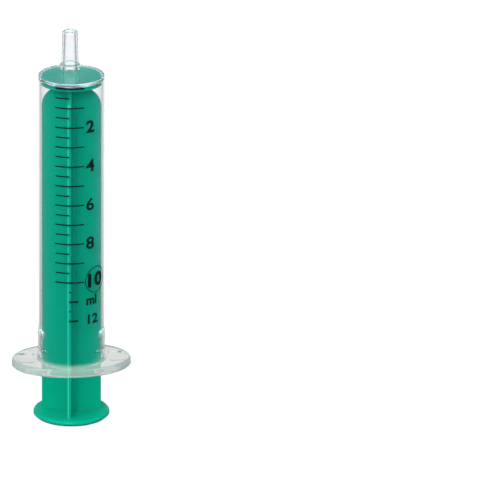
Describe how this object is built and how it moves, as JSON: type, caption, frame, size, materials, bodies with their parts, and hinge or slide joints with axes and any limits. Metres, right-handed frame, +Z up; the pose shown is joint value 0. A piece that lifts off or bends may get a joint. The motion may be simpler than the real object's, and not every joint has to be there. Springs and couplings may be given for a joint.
{
  "type": "luer slip syringe",
  "caption": "Disposable syringe with a clear graduated barrel, an off-centre slip nozzle, a finger flange and a green plunger that slides in the barrel.",
  "frame": {"origin": "centre of the thumb disc's underside", "axes": "+Z up the barrel's axis towards the nozzle, +X along the finger flange, +Y towards the side that the nozzle is offset to"},
  "size_m": [0.0312, 0.0208, 0.104],
  "materials": {
    "barrel": "clear injection moulded polypropylene, polished",
    "plunger": "green injection moulded polyethylene, satin",
    "ink": "black graduation ink printed on the barrel"
  },
  "bodies": {
    "plunger": {"plunger": "plunger"},
    "barrel": {"barrel": "barrel"}
  },
  "joints": [
    {"name": "plunger_stroke", "type": "slide", "parent": "plunger", "child": "barrel", "axis": [0, 0, 1], "range_m": [0, 0.0722]}
  ]
}
